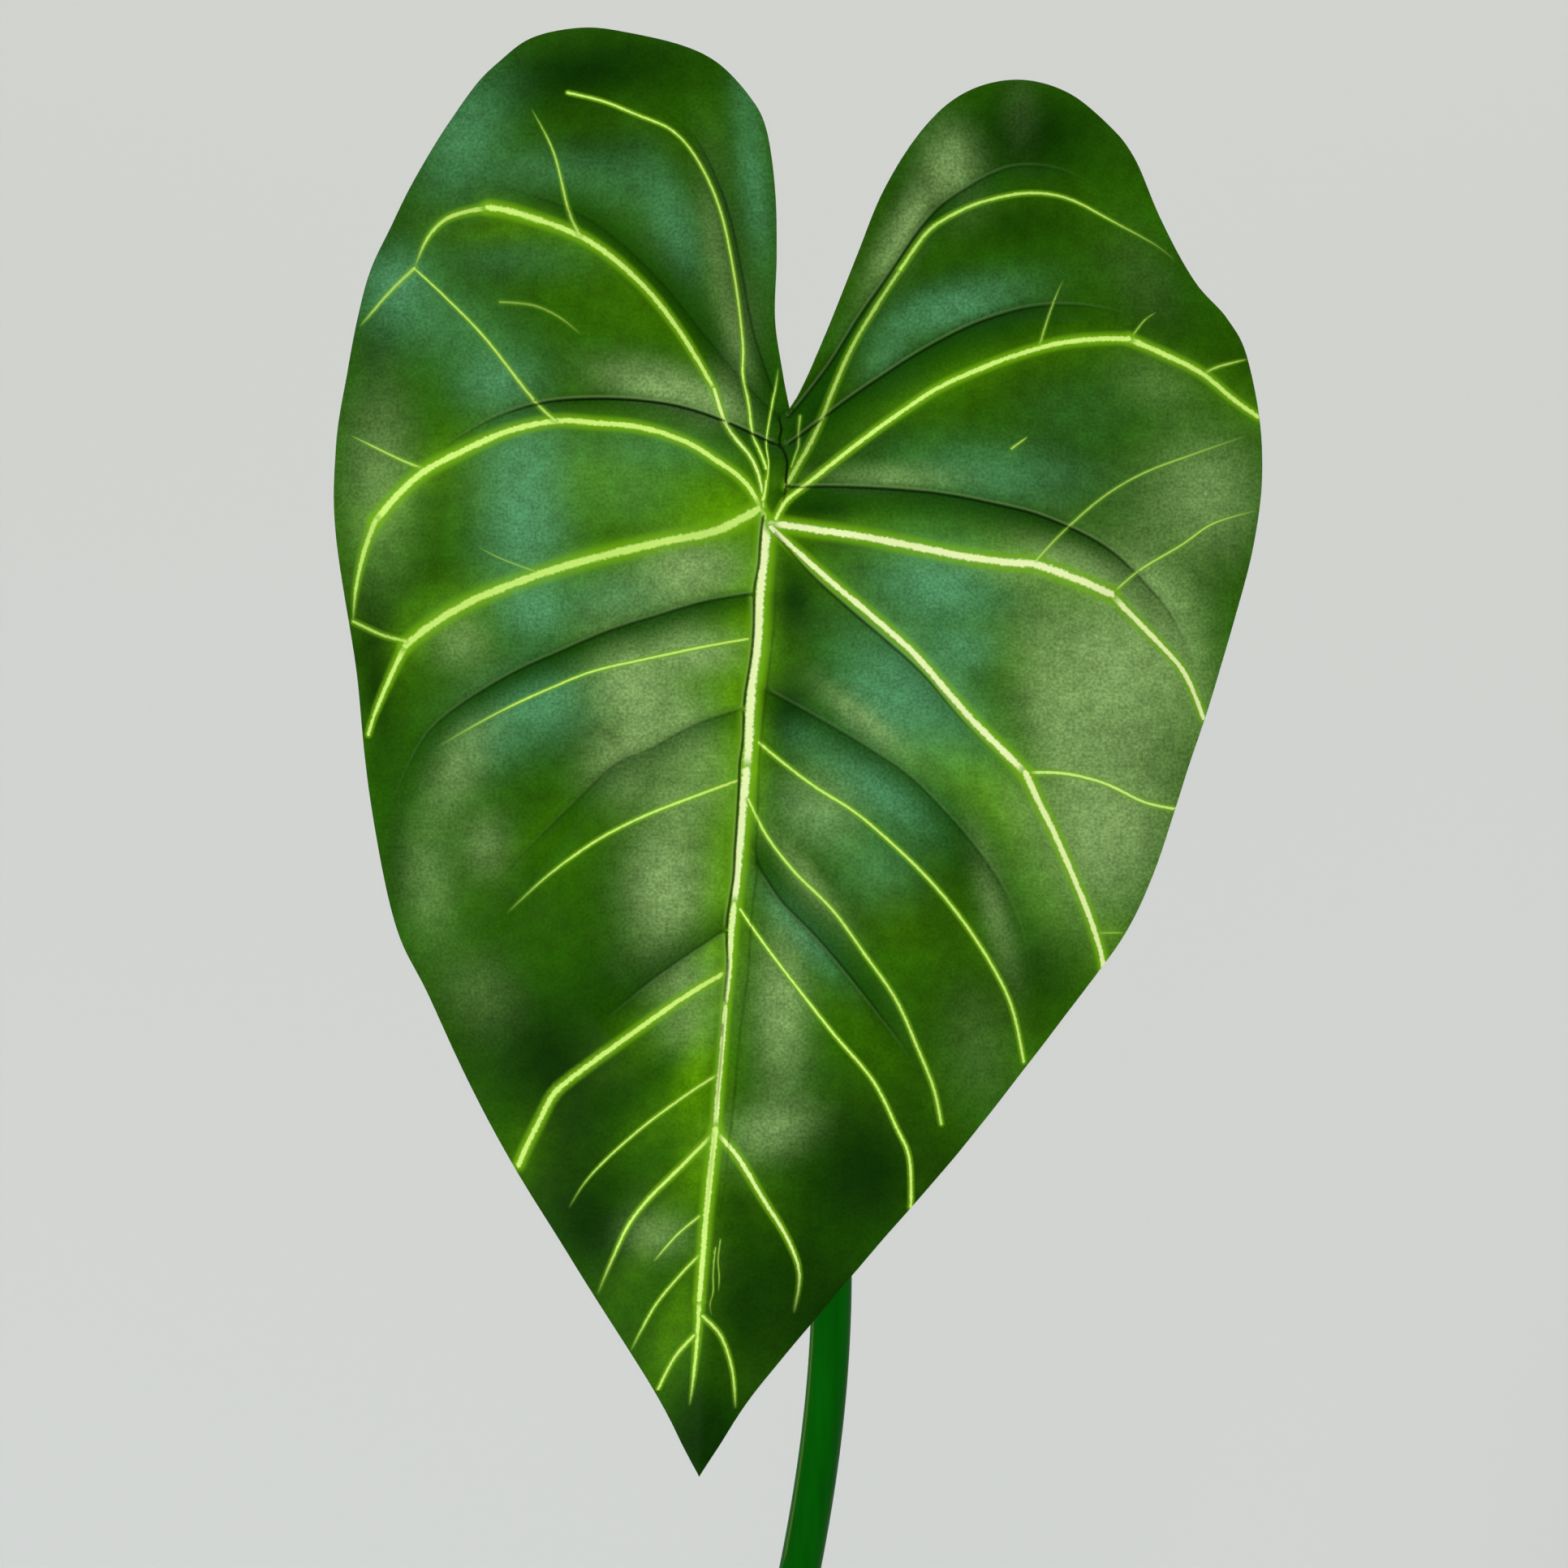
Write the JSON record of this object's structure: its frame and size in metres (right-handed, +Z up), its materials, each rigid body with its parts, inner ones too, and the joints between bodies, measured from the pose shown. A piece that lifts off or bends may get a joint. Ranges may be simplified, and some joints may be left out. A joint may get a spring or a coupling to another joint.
{
  "type": "artificial potted taro plant",
  "caption": "Artificial taro: a large heart-shaped printed leaf held upright on a wired plastic stem, standing in a plain weighted round pot.",
  "frame": {"origin": "centre of the pot's flat base, on the surface it stands on", "axes": "+Z up, along the pot's axis; the leaf's printed side faces -Y and a little up; +X to the right, seen from the front"},
  "size_m": [0.2298, 0.1925, 0.6986],
  "materials": {
    "pot_plastic": "matte",
    "cast_cement": "matte",
    "dark_dressing": "matte",
    "stem_plastic": "satin",
    "wire_steel": "satin",
    "printed_leaf": "satin"
  },
  "bodies": {
    "root": {"pot": "pot_plastic", "filler": "cast_cement", "dressing": "dark_dressing", "stem_sleeve": "stem_plastic", "stem_wire": "wire_steel", "leaf_socket": "stem_plastic", "back_rib": "stem_plastic", "leaf_blade": "printed_leaf"}
  },
  "joints": []
}
